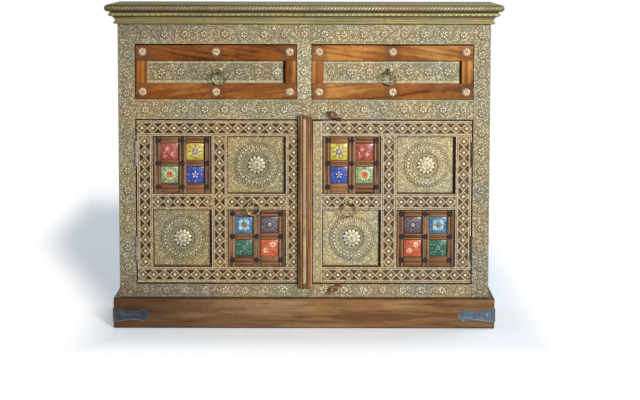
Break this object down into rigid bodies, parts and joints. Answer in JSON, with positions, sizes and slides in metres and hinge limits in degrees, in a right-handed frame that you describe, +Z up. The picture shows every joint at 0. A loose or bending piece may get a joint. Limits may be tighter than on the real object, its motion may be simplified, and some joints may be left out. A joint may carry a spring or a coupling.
{
  "type": "sideboard",
  "caption": "Low cabinet clad in embossed metal sheet: drawers over hinged doors with glazed tiles, wooden lattices, embossed medallions and ring pulls, on a plinth with iron corner straps.",
  "frame": {"origin": "on the floor, under the middle of the top board's width and depth", "axes": "the front faces -Y, +X is to the right of a person facing the front, +Z is up"},
  "size_m": [1.098, 0.4, 0.9],
  "materials": {
    "sheet_clad_board": "wooden board clad in embossed pale brass sheet, dulled, with bright worn points",
    "plinth_wood": "stained hardwood, worn satin",
    "drawer_wood": "reddish hardwood, oiled",
    "lattice_wood": "moulded hardwood, waxed",
    "fret_wood": "hardwood faced with a pale raised diamond fret",
    "case_wood": "plain hardwood boards",
    "tile_glaze": "painted and glazed ceramic tiles on a wooden board",
    "iron": "blackened wrought iron, blue-grey",
    "brass": "aged brass"
  },
  "bodies": {
    "case": {"plinth_front": "plinth_wood", "plinth_left": "plinth_wood", "plinth_right": "plinth_wood", "corner_strap_left": "iron", "corner_strap_right": "iron", "side_panel_left": "sheet_clad_board", "side_panel_right": "sheet_clad_board", "back_panel": "case_wood", "bottom_board": "case_wood", "shelf": "case_wood", "drawer_deck": "case_wood", "stile_left": "sheet_clad_board", "stile_right": "sheet_clad_board", "bottom_rail": "sheet_clad_board", "mid_rail": "sheet_clad_board", "top_rail": "sheet_clad_board", "drawer_mullion": "sheet_clad_board", "cornice_front": "sheet_clad_board", "cornice_left": "sheet_clad_board", "cornice_right": "sheet_clad_board", "top_board": "sheet_clad_board", "left_lower_hinge_case_leaf": "iron", "left_upper_hinge_case_leaf": "iron", "right_lower_hinge_case_leaf": "iron", "right_upper_hinge_case_leaf": "iron"},
    "left_drawer": {"left_drawer_frame": "drawer_wood", "left_drawer_panel": "sheet_clad_board", "left_drawer_box": "case_wood", "left_drawer_pull_stud": "brass"},
    "left_drawer_ring": {"left_drawer_pull_ring": "brass"},
    "right_drawer": {"right_drawer_frame": "drawer_wood", "right_drawer_panel": "sheet_clad_board", "right_drawer_box": "case_wood", "right_drawer_pull_stud": "brass"},
    "right_drawer_ring": {"right_drawer_pull_ring": "brass"},
    "left_door": {"left_door_frame": "fret_wood", "left_door_upper_tiles": "tile_glaze", "left_door_upper_lattice": "lattice_wood", "left_door_upper_medallion": "sheet_clad_board", "left_door_lower_tiles": "tile_glaze", "left_door_lower_lattice": "lattice_wood", "left_door_lower_medallion": "sheet_clad_board", "left_lower_hinge_door_leaf": "iron", "left_upper_hinge_door_leaf": "iron", "left_door_pull_stud": "brass"},
    "left_door_ring": {"left_door_pull_ring": "brass"},
    "right_door": {"right_door_frame": "fret_wood", "right_door_upper_tiles": "tile_glaze", "right_door_upper_lattice": "lattice_wood", "right_door_upper_medallion": "sheet_clad_board", "right_door_lower_tiles": "tile_glaze", "right_door_lower_lattice": "lattice_wood", "right_door_lower_medallion": "sheet_clad_board", "right_lower_hinge_door_leaf": "iron", "right_upper_hinge_door_leaf": "iron", "right_door_pull_stud": "brass", "closing_strip": "lattice_wood"},
    "right_door_ring": {"right_door_pull_ring": "brass"},
    "upper_button": {"upper_turn_button": "lattice_wood"},
    "lower_button": {"lower_turn_button": "lattice_wood"}
  },
  "joints": [
    {"name": "left_drawer_slide", "type": "slide", "parent": "case", "child": "left_drawer", "axis": [0, -1, 0], "range_m": [0, 0.24]},
    {"name": "right_drawer_slide", "type": "slide", "parent": "case", "child": "right_drawer", "axis": [0, -1, 0], "range_m": [0, 0.24]},
    {"name": "left_door_swing", "type": "hinge", "parent": "case", "child": "left_door", "pos_m": [-0.46625, -0.1685, 0.127], "axis": [0, 0, -1], "range_deg": [0, 165]},
    {"name": "right_door_swing", "type": "hinge", "parent": "case", "child": "right_door", "pos_m": [0.46625, -0.1685, 0.127], "axis": [0, 0, 1], "range_deg": [0, 165]},
    {"name": "left_drawer_ring_swing", "type": "hinge", "parent": "left_drawer", "child": "left_drawer_ring", "pos_m": [-0.235, -0.1697, 0.717], "axis": [-1, 0, 0], "range_deg": [0, 150]},
    {"name": "right_drawer_ring_swing", "type": "hinge", "parent": "right_drawer", "child": "right_drawer_ring", "pos_m": [0.235, -0.1697, 0.717], "axis": [-1, 0, 0], "range_deg": [0, 150]},
    {"name": "left_door_ring_swing", "type": "hinge", "parent": "left_door", "child": "left_door_ring", "pos_m": [-0.141, -0.1755, 0.3535], "axis": [-1, 0, 0], "range_deg": [-8, 150]},
    {"name": "right_door_ring_swing", "type": "hinge", "parent": "right_door", "child": "right_door_ring", "pos_m": [0.1275, -0.1755, 0.3535], "axis": [-1, 0, 0], "range_deg": [-8, 150]},
    {"name": "upper_button_turn", "type": "hinge", "parent": "case", "child": "upper_button", "pos_m": [0.0777, -0.165, 0.5972], "axis": [0, 1, 0], "continuous": true},
    {"name": "lower_button_turn", "type": "hinge", "parent": "case", "child": "lower_button", "pos_m": [0.0777, -0.165, 0.1064], "axis": [0, -1, 0], "range_deg": [-50, 60]}
  ]
}
